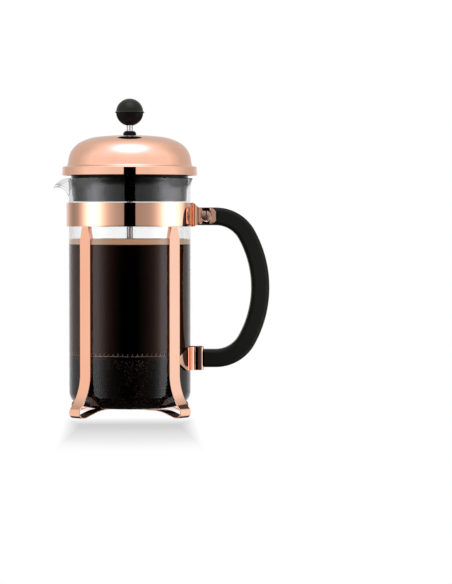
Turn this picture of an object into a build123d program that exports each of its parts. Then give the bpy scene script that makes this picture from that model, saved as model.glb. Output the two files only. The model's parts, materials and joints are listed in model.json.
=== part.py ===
from build123d import *
import math
import os

# Driving dimensions in millimetres. The feet stand on z = 0 and the beaker's axis is the Z axis.
# The handle points along +X and the spout along -X.
SHEET = 0.8

# Beaker
GLASS_R = 47.6
GLASS_WALL = 2.0
GLASS_FLOOR = 2.6
GLASS_CORNER_R = 12.5
GLASS_LIP_R = 49.5
GLASS_FLARE_H = 9.0
RIM_Z = 185.0
PUNT_R = 16.0
PUNT_RISE = 2.2

# Pouring lip of the beaker: a trumpet on a leaning axis
SPOUT_REACH = 60.4
SPOUT_TIP_Z = 177.0
SPOUT_ROOT = 46.0
SPOUT_SETBACK = 4.0
SPOUT_WAIST_R = 4.4
SPOUT_FLARE_R = 8.0
SPOUT_WALL = 1.8
SPOUT_RIM_WALL = 1.3
SPOUT_RIM_BEND = 2.4
SPOUT_DEPTH = 16.0
SPOUT_ARCH_TOP = (-51.0, 185.4)
SPOUT_ARCH_MID = (-56.4, 181.9)
SPOUT_ARCH_END = (-60.0, 176.2)

# Stand: band, legs and feet
BAND_IN_R = 48.85
BAND_LOW_Z = 147.4
BAND_HIGH_Z = 165.9
EAR_HALF_GAP = 7.6
EAR_BEND_R = 3.0
EAR_TIP_X = 68.3
EAR_HALF_H = 6.35
EAR_Z = 155.6
LEG_WIDTH = 11.4
LEG_TAB_WIDTH = 6.6
LEG_TAPER_Z = 137.0
LEG_TAB_TOP_Z = 164.6
FOOT_FLARE_R = 38.0
FOOT_FLARE_TURN = 44.0
FOOT_BEND_R = 4.0
FOOT_FLAT = 2.0
FOOT_RISE_TURN = 18.0
FOOT_EASE_R = 50.0
CROSS_LOW_Z = 5.2
RIVET_R = 2.2
RIVET_HEAD_R = 3.8
RIVET_HEAD_H = 0.9

# Handle
HANDLE_THICK = 13.9
HANDLE_WIDTH = 17.0
HANDLE_EDGE_R = 3.0
HANDLE_TOP_Z = 155.35
HANDLE_MID_Z = 99.8
HANDLE_CORNER_X = 67.4
HANDLE_CORNER_R = 27.65
HANDLE_GRIP_R = 85.05
HANDLE_TOP_X = 53.0
HANDLE_FOOT_X = 50.6
SCREW_X = 59.7
SCREW_HEAD_R = 4.0
SCREW_DOME_H = 0.9
SCREW_R = 2.0
SEAT_R = 4.3
SEAT_DEPTH = 1.6
SLOT_WIDTH = 1.0
SLOT_DEPTH = 1.5

# Clips that hold the handle's lower end
CLIP_HALF_H = 9.1
CLIP_ROOT_HALF_H = 3.35
CLIP_LIP_X = 55.6
CLIP_LIP_R = 1.7
CLIP_LIP_RUN = 1.0

# Lid
DOME_TOP_Z = 218.9
DOME_HOLE_R = 4.4
DOME_CROWN_R = 230.0
DOME_CROWN_TURN = 6.2
DOME_BROW_R = 38.0
DOME_BROW_TURN = 21.8
DOME_SIDE_R = 18.2
DOME_SIDE_TURN = 52.0
DOME_SIDE_RUN = 5.1
FLANGE_ROOT_R = 1.6
FLANGE_ROOT_TURN = 72.0
FLANGE_SHELF = 1.75
FLANGE_CORNER_R = 0.9
FLANGE_CORNER_TURN = 78.0
FLANGE_WALL = 5.6
LINER_FLANGE_R = 52.05
LINER_SEAT_Z = 178.5
LINER_SEAT_HALF_H = 1.3
LINER_PLATE_Z = 188.4
LINER_PLATE = 1.8
LINER_SKIRT_R = 45.0
LINER_SKIRT_LOW_R = 44.5
LINER_SKIRT_WALL = 1.7
LINER_SKIRT_LOW_Z = 167.0
LINER_HUB_R = 7.4
LINER_RIBS = 6
POUR_SLOTS = 7
POUR_SLOT_STEP = 5.4
POUR_SLOT_WIDTH = 2.2
POUR_SLOT_LOW_Z = 170.5
POUR_SLOT_HIGH_Z = 183.0
BUSH_R = 5.1
BUSH_CROWN_R = 3.6
BUSH_TOP_Z = 222.0
BUSH_STEM_R = 4.2
BUSH_GROOVE_R = 3.5
BUSH_CLIP_R = 6.6

# Plunger
ROD_R = 2.3
ROD_RUNNING_GAP = 0.06
ROD_TIP_R = 1.9
KNOB_R = 10.68
KNOB_Z = 236.8
KNOB_LOW_Z = 226.5
KNOB_RIDGE_R = 11.7
KNOB_RIDGE_H = 1.7
KNOB_BOSS_R = 6.5
KNOB_BOSS_H = 3.2
INSERT_R = 3.9
INSERT_LOW_Z = 229.4
INSERT_HIGH_Z = 238.6

# Filter stack, from the coil spring's mid height
SPRING_Z = 48.05
SPRING_RING_R = 42.2
SPRING_COIL_R = 2.1
SPRING_WIRE_R = 0.45
SPRING_TURNS = 48
SPRING_SIDES = 3
SCREEN_R = 45.3
SCREEN_SHEET = 0.4
SCREEN_HIGH_Z = 47.9
PLATE_R = 42.3
PLATE_DISH_R = 34.0
PLATE_RISE_R = 37.6
PLATE_HOLES = 8
PLATE_HOLE_R = 6.2
PLATE_HOLE_RING_R = 22.0
FINGER_SLOT_R = 38.9
FINGER_SLOT_WIDTH = 2.2
CROSS_R = 40.0
CROSS_RIM = 4.5
CROSS_HUB_R = 10.0
CROSS_ARM = 9.0
NUT_R = 5.0
NUT_LOW_Z = 40.2


def run(length):
    return ("run", length, 0.0)


def bend(radius, turn):
    return ("bend", radius, turn)


def normal(heading):
    """Unit vector to the left of a heading in degrees."""
    angle = math.radians(heading)
    return Vector(-math.sin(angle), math.cos(angle))


def path_edges(start, heading, moves, offset):
    """Edges of a path of runs and bends, moved sideways by offset, positive to the left of travel."""
    point = Vector(*start)
    edges = []
    for kind, size, turn in moves:
        side = normal(heading)
        if kind == "run":
            end = point + normal(heading - 90) * size
            edges.append(Line(point + side * offset, end + side * offset))
            point = end
            continue
        hand = math.copysign(1, turn)
        centre = point + side * (hand * size)
        reach = offset - hand * size
        stops = [centre + normal(heading + turn * share) * reach for share in (0, 0.5, 1)]
        edges.append(ThreePointArc(*stops))
        heading += turn
        point = centre - normal(heading) * (hand * size)
    return edges


def strip_face(start, heading, moves, thickness):
    """Flat section of a strip of even thickness along a path of runs and bends."""
    left = path_edges(start, heading, moves, thickness / 2)
    right = path_edges(start, heading, moves, -thickness / 2)
    ends = [Line(left[0] @ 0, right[0] @ 0), Line(left[-1] @ 1, right[-1] @ 1)]
    return make_face(left + right + ends)


def outline(*points):
    return make_face(Polyline(*points, close=True))


def radial_plane(angle):
    """Upright plane through the axis: its x runs outward at the angle and its y runs up."""
    turn = math.radians(angle)
    outward = (math.cos(turn), math.sin(turn), 0)
    across = (math.sin(turn), -math.cos(turn), 0)
    return Plane((0, 0, 0), x_dir=outward, z_dir=across)


def turned(face):
    """Solid of revolution about the Z axis from a section drawn as radius and height."""
    return revolve(Plane.XZ * face, Axis.Z)


def slab(face, half_width):
    """Section drawn in X and Z, thickened evenly both ways along Y."""
    return extrude(Plane.XZ * face, amount=half_width, both=True)


def prism(face, low, high):
    return Pos(0, 0, low) * extrude(face, amount=high - low)


def tube(outer, inner, low, high):
    return Pos(0, 0, low) * extrude(Circle(outer) - Circle(inner), amount=high - low)


def y_cone(r_front, r_back, front, back, x, z):
    """Cone along +Y from y = front to y = back, centred on x and z."""
    cone = Cone(r_front, r_back, back - front) if r_front != r_back else Cylinder(r_front, back - front)
    return Pos(x, (front + back) / 2, z) * (Rot(-90, 0, 0) * cone)


# Stand

def band_bend_angle(ring_r):
    """Angle from +X at which a ring turns outward into an ear."""
    return math.degrees(math.asin((EAR_HALF_GAP + EAR_BEND_R) / (ring_r + EAR_BEND_R)))


def ear_start_x(ring_r):
    return (ring_r + EAR_BEND_R) * math.cos(math.radians(band_bend_angle(ring_r)))


def ear_outline():
    """Side outline of the band with its rounded ears."""
    ring_end = 50.0
    ear_begin = 54.0
    ear_round_x = EAR_TIP_X - EAR_HALF_H
    ear_high = EAR_Z + EAR_HALF_H
    ear_low = EAR_Z - EAR_HALF_H
    back = -60.0
    edges = [
        Line((back, BAND_LOW_Z), (back, BAND_HIGH_Z)),
        Line((back, BAND_HIGH_Z), (ring_end, BAND_HIGH_Z)),
        Line((ring_end, BAND_HIGH_Z), (ear_begin, ear_high)),
        Line((ear_begin, ear_high), (ear_round_x, ear_high)),
        ThreePointArc((ear_round_x, ear_high), (EAR_TIP_X, EAR_Z), (ear_round_x, ear_low)),
        Line((ear_round_x, ear_low), (ear_begin, ear_low)),
        Line((ear_begin, ear_low), (ring_end, BAND_LOW_Z)),
        Line((ring_end, BAND_LOW_Z), (back, BAND_LOW_Z)),
    ]
    return make_face(edges)


def make_band():
    ring_r = BAND_IN_R + SHEET / 2
    angle = band_bend_angle(ring_r)
    ear_run = EAR_TIP_X - ear_start_x(ring_r)
    moves = [
        run(ear_run),
        bend(EAR_BEND_R, 90 - angle),
        bend(ring_r, 2 * angle - 360),
        bend(EAR_BEND_R, 90 - angle),
        run(ear_run),
    ]
    plan = strip_face((EAR_TIP_X, -EAR_HALF_GAP), 180, moves, SHEET)
    band = prism(plan, BAND_LOW_Z, BAND_HIGH_Z) & slab(ear_outline(), GLASS_R + 10)
    face_y = EAR_HALF_GAP + SHEET / 2
    for hand in (-1, 1):
        band -= seat_cone(hand, face_y, SEAT_R, SEAT_DEPTH)
    return band


def seat_cone(hand, face_y, wide_r, depth):
    """Countersink that opens at y = hand * face_y and narrows towards the middle."""
    narrow_r = wide_r - depth
    if hand < 0:
        return y_cone(wide_r, narrow_r, -face_y, depth - face_y, SCREW_X, EAR_Z)
    return y_cone(narrow_r, wide_r, face_y - depth, face_y, SCREW_X, EAR_Z)


def leg_moves(cross_z):
    """One leg from its tab down round the foot and in to the level run under the beaker."""
    flare = math.radians(FOOT_FLARE_TURN)
    rise = math.radians(FOOT_RISE_TURN)
    flare_drop = FOOT_FLARE_R * math.sin(flare)
    foot_drop = FOOT_BEND_R * (1 + math.cos(math.pi / 2 - flare))
    straight = LEG_TAB_TOP_Z - SHEET / 2 - flare_drop - foot_drop
    climb_left = cross_z - SHEET / 2 - (FOOT_BEND_R + FOOT_EASE_R) * (1 - math.cos(rise))
    return [
        run(straight),
        bend(FOOT_FLARE_R, -FOOT_FLARE_TURN),
        bend(FOOT_BEND_R, 90 + FOOT_FLARE_TURN),
        run(FOOT_FLAT),
        bend(FOOT_BEND_R, FOOT_RISE_TURN),
        run(climb_left / math.sin(rise)),
        bend(FOOT_EASE_R, -FOOT_RISE_TURN),
    ]


def level_run(moves, start_x):
    """Length of the run under the beaker that joins two mirrored legs."""
    inner_end = path_edges((start_x, 0), -90, moves, 0)[-1] @ 1
    return -2 * inner_end.X


def make_leg_strip(angle, cross_z):
    leg_x = -(BAND_IN_R - SHEET / 2)
    leg = leg_moves(cross_z)
    moves = leg + [run(level_run(leg, leg_x))] + leg[::-1]
    section = strip_face((leg_x, LEG_TAB_TOP_Z), -90, moves, SHEET)
    strip = extrude(radial_plane(angle) * section, amount=LEG_WIDTH / 2, both=True)
    half, tab = LEG_WIDTH / 2, LEG_TAB_WIDTH / 2
    front = outline(
        (-half, -1), (half, -1), (half, LEG_TAPER_Z), (tab, BAND_LOW_Z),
        (tab, LEG_TAB_TOP_Z + 1), (-tab, LEG_TAB_TOP_Z + 1), (-tab, BAND_LOW_Z), (-half, LEG_TAPER_Z),
    )
    strip &= extrude(radial_plane(angle + 90) * front, amount=GLASS_R * 2, both=True)
    return strip - tube(BAND_IN_R + 3, BAND_IN_R, BAND_LOW_Z, LEG_TAB_TOP_Z + 1)


def make_cross_rivet():
    low = CROSS_LOW_Z - SHEET / 2
    high = low + 2 * SHEET
    sections = [
        (0, low - RIVET_HEAD_H), (RIVET_HEAD_R - 1, low - RIVET_HEAD_H), (RIVET_HEAD_R, low),
        (RIVET_R, low), (RIVET_R, high), (RIVET_HEAD_R, high),
        (RIVET_HEAD_R - 1, high + RIVET_HEAD_H), (0, high + RIVET_HEAD_H),
    ]
    return turned(outline(*sections))


# Handle and what holds it

def make_handle():
    spread = math.degrees(math.asin((HANDLE_TOP_Z - HANDLE_CORNER_R - HANDLE_MID_Z)
                                    / (HANDLE_GRIP_R - HANDLE_CORNER_R)))
    moves = [
        run(HANDLE_CORNER_X - HANDLE_TOP_X),
        bend(HANDLE_CORNER_R, spread - 90),
        bend(HANDLE_GRIP_R, -2 * spread),
        bend(HANDLE_CORNER_R, spread - 90),
        run(HANDLE_CORNER_X - HANDLE_FOOT_X),
    ]
    bar = slab(strip_face((HANDLE_TOP_X, HANDLE_TOP_Z), 0, moves, HANDLE_THICK), HANDLE_WIDTH / 2)
    sides = bar.faces().sort_by(Axis.Y)
    bar = fillet(sides[0].edges() + sides[-1].edges(), HANDLE_EDGE_R)
    ear_inner = EAR_HALF_GAP - SHEET / 2
    depth = HANDLE_WIDTH
    ear_z = HANDLE_THICK
    lip_half = EAR_HALF_GAP - CLIP_LIP_R - CLIP_LIP_RUN - 0.3
    lip_out = CLIP_LIP_X + CLIP_LIP_R + SHEET / 2 + 0.3
    lip_in = CLIP_LIP_X + CLIP_LIP_R - SHEET / 2 - 0.9
    head_half = ear_inner - 0.5
    foot_z = 2 * HANDLE_MID_Z - HANDLE_TOP_Z
    for hand in (-1, 1):
        ear_round = EAR_TIP_X - EAR_HALF_H
        pocket = SlotOverall(2 * (ear_round - 40) + 2 * EAR_HALF_H + 0.6, 2 * EAR_HALF_H + 0.6)
        pocket = Plane.XZ * (Pos(40, EAR_Z) * pocket)
        bar -= Pos(0, hand * (ear_inner + depth / 2), 0) * extrude(pocket, amount=depth / 2, both=True)
        bar -= seat_cone(hand, ear_inner + 0.02, SEAT_R, SEAT_DEPTH)
        bar -= box_between((40, lip_out), (head_half, depth), (foot_z - ear_z, foot_z + ear_z), hand)
        bar -= box_between((lip_in, lip_out), (lip_half, depth), (foot_z - ear_z, foot_z + ear_z), hand)
    return bar - y_cone(SCREW_R, SCREW_R, -HANDLE_WIDTH, HANDLE_WIDTH, SCREW_X, EAR_Z)


def box_between(xs, ys, zs, hand):
    """Box between limits, mirrored to the -Y side where hand is -1."""
    size = (xs[1] - xs[0], ys[1] - ys[0], zs[1] - zs[0])
    centre = ((xs[0] + xs[1]) / 2, hand * (ys[0] + ys[1]) / 2, (zs[0] + zs[1]) / 2)
    return Pos(*centre) * Box(*size)


def make_clip(hand, legs):
    """One sheet clip: an arm from a leg that widens, turns outward and hooks round the handle's end."""
    ring_r = math.hypot(BAND_IN_R - SHEET / 2, LEG_WIDTH / 2)
    angle = band_bend_angle(ring_r)
    start_angle = -42.0
    start = (ring_r * math.cos(math.radians(start_angle)), ring_r * math.sin(math.radians(start_angle)))
    moves = [
        bend(ring_r, -angle - start_angle),
        bend(EAR_BEND_R, angle - 90),
        run(CLIP_LIP_X - ear_start_x(ring_r)),
        bend(CLIP_LIP_R, 90),
        run(CLIP_LIP_RUN),
    ]
    plan = strip_face(start, start_angle + 90, moves, SHEET)
    foot_z = 2 * HANDLE_MID_Z - HANDLE_TOP_Z
    root_x, wide_x, tip_x = 39.2, 44.7, 60.0
    side = outline(
        (30, foot_z - CLIP_ROOT_HALF_H), (root_x, foot_z - CLIP_ROOT_HALF_H), (wide_x, foot_z - CLIP_HALF_H),
        (tip_x, foot_z - CLIP_HALF_H), (tip_x, foot_z + CLIP_HALF_H), (wide_x, foot_z + CLIP_HALF_H),
        (root_x, foot_z + CLIP_ROOT_HALF_H), (30, foot_z + CLIP_ROOT_HALF_H),
    )
    clip = prism(plan, foot_z - CLIP_HALF_H, foot_z + CLIP_HALF_H) & slab(side, GLASS_R)
    if hand > 0:
        clip = mirror(clip, Plane.XZ)
    for leg in legs:
        clip -= leg
    return clip.solids().sort_by(SortBy.VOLUME)[-1]


def make_screw():
    """Raised countersunk screw from the front ear into the nut behind."""
    face_y = EAR_HALF_GAP + SHEET / 2 - 0.3
    head_depth = SCREW_HEAD_R - SCREW_R
    screw = y_cone(SCREW_HEAD_R, SCREW_R, -face_y, head_depth - face_y, SCREW_X, EAR_Z)
    screw += y_cone(SCREW_R, SCREW_R, head_depth - face_y, 2.0, SCREW_X, EAR_Z)
    return slotted(screw, -1, face_y)


def make_nut():
    """Raised countersunk sleeve nut in the rear ear."""
    face_y = EAR_HALF_GAP + SHEET / 2 - 0.3
    head_depth = SCREW_HEAD_R - SCREW_R
    nut = y_cone(SCREW_R, SCREW_HEAD_R, face_y - head_depth, face_y, SCREW_X, EAR_Z)
    nut += y_cone(SCREW_R, SCREW_R, 2.0, face_y - head_depth, SCREW_X, EAR_Z)
    return slotted(nut, 1, face_y)


def slotted(fastener, hand, face_y):
    """Fastener with a low dome on its head, cut by an upright slot."""
    ball_r = (SCREW_HEAD_R ** 2 + SCREW_DOME_H ** 2) / (2 * SCREW_DOME_H)
    half = math.asin(SCREW_HEAD_R / ball_r) / 2
    middle = (ball_r * math.sin(half), SCREW_DOME_H - ball_r * (1 - math.cos(half)))
    dome = turned(make_face([
        Line((0, 0), (SCREW_HEAD_R, 0)),
        ThreePointArc((SCREW_HEAD_R, 0), middle, (0, SCREW_DOME_H)),
        Line((0, SCREW_DOME_H), (0, 0)),
    ]))
    fastener += Pos(SCREW_X, hand * face_y, EAR_Z) * (Rot(-90 * hand, 0, 0) * dome)
    slot_y = hand * (face_y + SCREW_DOME_H - SLOT_DEPTH / 2)
    return fastener - Pos(SCREW_X, slot_y, EAR_Z) * Box(SLOT_WIDTH, SLOT_DEPTH, 3 * SCREW_HEAD_R)


# Beaker

def flare_arc(radius, lip_r):
    """Arc of a vessel's flared mouth, from its straight wall up to the rim."""
    middle = (radius + (lip_r - radius) * 0.28, RIM_Z - GLASS_FLARE_H * 0.45)
    return ThreePointArc((radius, RIM_Z - GLASS_FLARE_H), middle, (lip_r, RIM_Z))


def flare_at(radius, lip_r, z):
    """Radius of the flared mouth at a height, and how fast it widens there."""
    arc = flare_arc(radius, lip_r)
    centre = arc.arc_center
    reach = math.sqrt(arc.radius ** 2 - (z - centre.Y) ** 2)
    return centre.X - reach, (z - centre.Y) / reach


def vessel_section(radius, low, corner_r, lip_r):
    """Half section of a round vessel with a rounded foot and a flared mouth, closed at the axis."""
    flare_low = RIM_Z - GLASS_FLARE_H
    edge = math.sqrt(0.5) * corner_r
    return [
        ThreePointArc((radius - corner_r, low), (radius - corner_r + edge, low + corner_r - edge),
                      (radius, low + corner_r)),
        Line((radius, low + corner_r), (radius, flare_low)),
        flare_arc(radius, lip_r),
        Line((lip_r, RIM_Z), (0, RIM_Z)),
    ]


def spout_plane():
    """Plane of the lip's rim: x runs to the tip and z points up and outward."""
    tip = Vector(-SPOUT_REACH, 0, SPOUT_TIP_Z)
    root = Vector(-SPOUT_ROOT, 0, RIM_Z)
    along = (tip - root).normalized()
    origin = root + along * SPOUT_SETBACK
    up = Vector(along.Z, 0, -along.X)
    return Plane(origin, x_dir=along, z_dir=up), (tip - origin).length


def trumpet(wall, rim_wall, top):
    """Solid of the lip about its leaning axis, drawn in by two walls, closed at a height above the rim."""
    plane, tip_r = spout_plane()
    centre_r = SPOUT_WAIST_R + SPOUT_FLARE_R
    drop = math.sqrt(SPOUT_FLARE_R ** 2 - (centre_r - tip_r) ** 2)
    radius = SPOUT_FLARE_R + wall
    rim_r = tip_r - rim_wall
    rim_h = math.sqrt(radius ** 2 - (centre_r - rim_r) ** 2) - drop
    bow = math.radians(135)
    waist = (centre_r - radius, -drop)
    middle = (centre_r + radius * math.cos(bow), radius * math.sin(bow) - drop)
    edges = [
        Line((0, -SPOUT_DEPTH), (waist[0], -SPOUT_DEPTH)),
        Line((waist[0], -SPOUT_DEPTH), waist),
        ThreePointArc(waist, middle, (rim_r, rim_h)),
        Line((rim_r, rim_h), (rim_r, top)),
        Line((rim_r, top), (0, top)),
        Line((0, top), (0, -SPOUT_DEPTH)),
    ]
    section = make_face(edges)
    corner = section.vertices().sort_by_distance((rim_r, rim_h, 0))[0]
    section = fillet(corner, SPOUT_RIM_BEND - rim_wall)
    return plane * revolve(Plane.XZ * section, Axis.Z)


def make_beaker():
    low = CROSS_LOW_Z + 1.5 * SHEET
    inner_r = GLASS_R - GLASS_WALL
    floor_z = low + GLASS_FLOOR
    outer_edges = vessel_section(GLASS_R, low, GLASS_CORNER_R, GLASS_LIP_R)
    punt = ThreePointArc((0, low + PUNT_RISE), (PUNT_R / 2, low + 0.75 * PUNT_RISE), (PUNT_R, low))
    outer_edges += [
        punt,
        Line((PUNT_R, low), (GLASS_R - GLASS_CORNER_R, low)),
        Line((0, low + PUNT_RISE), (0, RIM_Z)),
    ]
    inner_corner = GLASS_CORNER_R - GLASS_WALL
    inner_edges = vessel_section(inner_r, floor_z, inner_corner, GLASS_LIP_R - GLASS_WALL)
    inner_edges += [
        ThreePointArc((0, floor_z + PUNT_RISE), (PUNT_R / 2, floor_z + 0.75 * PUNT_RISE), (PUNT_R, floor_z)),
        Line((PUNT_R, floor_z), (inner_r - inner_corner, floor_z)),
        Line((0, floor_z + PUNT_RISE), (0, RIM_Z)),
    ]
    body = turned(make_face(outer_edges)) + trumpet(0, 0, 6)
    hollow = turned(make_face(inner_edges)) + trumpet(SPOUT_WALL, SPOUT_RIM_WALL, 30)
    beaker = body - hollow - slab(make_face(spout_arch()), GLASS_R)
    return beaker - prism(Rectangle(200, 200), RIM_Z, RIM_Z + 40)


def spout_arch():
    """Side outline of all that is cleared above the arched edge of the lip."""
    high = RIM_Z + 20
    out = -SPOUT_REACH - 20
    return [
        ThreePointArc(SPOUT_ARCH_TOP, SPOUT_ARCH_MID, SPOUT_ARCH_END),
        Polyline(SPOUT_ARCH_END, (out, SPOUT_ARCH_END[1]), (out, high), (SPOUT_ARCH_TOP[0], high), SPOUT_ARCH_TOP),
    ]


# Lid

def make_dome():
    """Sheet dome from the hole in its crown to the lower edge of its flange."""
    half = SHEET / 2
    crown = math.degrees(math.asin(DOME_HOLE_R / DOME_CROWN_R))
    sag = DOME_CROWN_R * (1 - math.cos(math.radians(crown)))
    moves = [
        bend(DOME_CROWN_R - half, crown - DOME_CROWN_TURN),
        bend(DOME_BROW_R - half, -DOME_BROW_TURN),
        bend(DOME_SIDE_R - half, -DOME_SIDE_TURN),
        run(DOME_SIDE_RUN),
        bend(FLANGE_ROOT_R, FLANGE_ROOT_TURN),
        run(FLANGE_SHELF),
        bend(FLANGE_CORNER_R, -FLANGE_CORNER_TURN),
        run(FLANGE_WALL),
    ]
    return turned(strip_face((DOME_HOLE_R, DOME_TOP_Z - sag - half), -crown, moves, SHEET))


def make_liner():
    """Plastic liner: a flanged plate, a post up to the crown and a skirt that seats in the beaker's flare."""
    plate_low = LINER_PLATE_Z
    plate_high = plate_low + LINER_PLATE
    skirt_in = LINER_SKIRT_R - LINER_SKIRT_WALL
    skirt_low_in = LINER_SKIRT_LOW_R - LINER_SKIRT_WALL
    post_high = DOME_TOP_Z - SHEET - 0.2
    bore = BUSH_STEM_R + 0.1
    seat_r, seat_lean = flare_at(GLASS_R - GLASS_WALL, GLASS_LIP_R - GLASS_WALL, LINER_SEAT_Z)
    seat_spread = seat_lean * LINER_SEAT_HALF_H
    liner = turned(outline(
        (bore, plate_low), (skirt_in, plate_low), (skirt_low_in, LINER_SKIRT_LOW_Z),
        (LINER_SKIRT_LOW_R, LINER_SKIRT_LOW_Z), (LINER_SKIRT_R, LINER_SEAT_Z - 2 * LINER_SEAT_HALF_H),
        (seat_r - seat_spread, LINER_SEAT_Z - LINER_SEAT_HALF_H),
        (seat_r + seat_spread, LINER_SEAT_Z + LINER_SEAT_HALF_H),
        (seat_r + seat_spread, plate_low), (LINER_FLANGE_R, plate_low), (LINER_FLANGE_R, plate_high),
        (LINER_HUB_R, plate_high), (LINER_HUB_R, post_high), (bore, post_high),
    ))
    rib = outline((LINER_HUB_R - 0.5, plate_high), (36.0, plate_high), (LINER_HUB_R - 0.5, plate_high + 18))
    for index in range(LINER_RIBS):
        plane = radial_plane(index * 360 / LINER_RIBS)
        liner += extrude(plane * rib, amount=0.8, both=True)
    for index in range(POUR_SLOTS):
        angle = 180 + (index - (POUR_SLOTS - 1) / 2) * POUR_SLOT_STEP
        slot = Pos(LINER_SKIRT_R, 0, (POUR_SLOT_LOW_Z + POUR_SLOT_HIGH_Z) / 2) * Box(
            8, POUR_SLOT_WIDTH, POUR_SLOT_HIGH_Z - POUR_SLOT_LOW_Z)
        liner -= Rot(0, 0, angle) * slot
    return liner


def make_bush():
    """Guide for the rod: a rounded collar on the dome and a stem down through the liner's post."""
    bore = ROD_R + ROD_RUNNING_GAP
    plate_low = LINER_PLATE_Z
    groove_low = plate_low - 0.95
    shoulder = (BUSH_R - 0.35, DOME_TOP_Z + 2.0)
    edges = [
        Line((bore, groove_low - 1.4), (BUSH_STEM_R, groove_low - 1.4)),
        Line((BUSH_STEM_R, groove_low - 1.4), (BUSH_STEM_R, groove_low)),
        Line((BUSH_STEM_R, groove_low), (BUSH_GROOVE_R, groove_low)),
        Line((BUSH_GROOVE_R, groove_low), (BUSH_GROOVE_R, plate_low)),
        Line((BUSH_GROOVE_R, plate_low), (BUSH_STEM_R, plate_low)),
        Line((BUSH_STEM_R, plate_low), (BUSH_STEM_R, DOME_TOP_Z)),
        Line((BUSH_STEM_R, DOME_TOP_Z), (BUSH_R, DOME_TOP_Z)),
        ThreePointArc((BUSH_R, DOME_TOP_Z), shoulder, (BUSH_CROWN_R, BUSH_TOP_Z)),
        Line((BUSH_CROWN_R, BUSH_TOP_Z), (bore, BUSH_TOP_Z)),
        Line((bore, BUSH_TOP_Z), (bore, groove_low - 1.4)),
    ]
    return turned(make_face(edges))


def make_bush_clip():
    return tube(BUSH_CLIP_R, BUSH_GROOVE_R + 0.05, LINER_PLATE_Z - SHEET, LINER_PLATE_Z)


# Plunger

def ball_arc(z_from, z_to):
    """Arc of the knob's ball between two heights, as radius and height."""
    def at(z):
        return (math.sqrt(KNOB_R ** 2 - (z - KNOB_Z) ** 2), z)
    return ThreePointArc(at(z_from), at((z_from + z_to) / 2), at(z_to))


def make_knob_base():
    ridge_low = KNOB_Z - KNOB_RIDGE_H / 2
    ball = ball_arc(KNOB_LOW_Z, ridge_low)
    boss_z = KNOB_Z + KNOB_BOSS_H
    rod_r = ROD_R + 0.1
    edges = [
        Line((rod_r, KNOB_LOW_Z), ball @ 0),
        ball,
        Line(ball @ 1, (KNOB_RIDGE_R, KNOB_Z)),
        Line((KNOB_RIDGE_R, KNOB_Z), (KNOB_BOSS_R, KNOB_Z)),
        Line((KNOB_BOSS_R, KNOB_Z), (KNOB_BOSS_R, boss_z)),
        Line((KNOB_BOSS_R, boss_z), (INSERT_R, boss_z)),
        Line((INSERT_R, boss_z), (INSERT_R, INSERT_LOW_Z)),
        Line((INSERT_R, INSERT_LOW_Z), (rod_r, INSERT_LOW_Z)),
        Line((rod_r, INSERT_LOW_Z), (rod_r, KNOB_LOW_Z)),
    ]
    return turned(make_face(edges))


def make_knob_cap():
    ridge_high = KNOB_Z + KNOB_RIDGE_H / 2
    top = KNOB_Z + KNOB_R
    wide = math.sqrt(KNOB_R ** 2 - (ridge_high - KNOB_Z) ** 2)
    lean = math.radians(48)
    middle = (KNOB_R * math.cos(lean), KNOB_Z + KNOB_R * math.sin(lean))
    socket_z = KNOB_Z + KNOB_BOSS_H + 0.2
    edges = [
        Line((KNOB_BOSS_R, KNOB_Z), (KNOB_RIDGE_R, KNOB_Z)),
        Line((KNOB_RIDGE_R, KNOB_Z), (wide, ridge_high)),
        ThreePointArc((wide, ridge_high), middle, (0, top)),
        Line((0, top), (0, socket_z)),
        Line((0, socket_z), (KNOB_BOSS_R, socket_z)),
        Line((KNOB_BOSS_R, socket_z), (KNOB_BOSS_R, KNOB_Z)),
    ]
    return turned(make_face(edges))


def make_knob_insert():
    return tube(INSERT_R, ROD_TIP_R, INSERT_LOW_Z, INSERT_HIGH_Z)


def stack_levels():
    """Heights of the dished plate's underside, the screen's underside and the cross plate's underside."""
    screen_low = SPRING_Z - SPRING_COIL_R - SPRING_WIRE_R - SCREEN_SHEET - 0.4
    return screen_low + SCREEN_SHEET, screen_low, screen_low - SHEET


def make_rod():
    plate_low, _, cross_low = stack_levels()
    shoulder = plate_low + SHEET
    tip_low = NUT_LOW_Z + 0.6
    chamfer = 0.5
    return turned(outline(
        (0, tip_low), (ROD_TIP_R - chamfer, tip_low), (ROD_TIP_R, tip_low + chamfer), (ROD_TIP_R, shoulder),
        (ROD_R, shoulder), (ROD_R, INSERT_LOW_Z), (ROD_TIP_R, INSERT_LOW_Z),
        (ROD_TIP_R, INSERT_HIGH_Z - chamfer), (ROD_TIP_R - chamfer, INSERT_HIGH_Z), (0, INSERT_HIGH_Z),
    ))


def spring_angle(turn):
    """Angle round the ring, in degrees, at a number of turns of the coil."""
    return 360 * turn / (SPRING_TURNS + 1)


def spring_point(turn):
    """Point on the coil's wire and its direction of travel, after a number of turns."""
    ring = math.radians(spring_angle(turn))
    ring_rate = math.radians(spring_angle(1)) / (2 * math.pi)
    coil = 2 * math.pi * turn
    reach = SPRING_RING_R + SPRING_COIL_R * math.cos(coil)
    place = Vector(reach * math.cos(ring), reach * math.sin(ring), SPRING_Z + SPRING_COIL_R * math.sin(coil))
    outward = -SPRING_COIL_R * math.sin(coil)
    travel = Vector(
        outward * math.cos(ring) - reach * ring_rate * math.sin(ring),
        outward * math.sin(ring) + reach * ring_rate * math.cos(ring),
        SPRING_COIL_R * math.cos(coil),
    )
    return place, travel.normalized()


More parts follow.
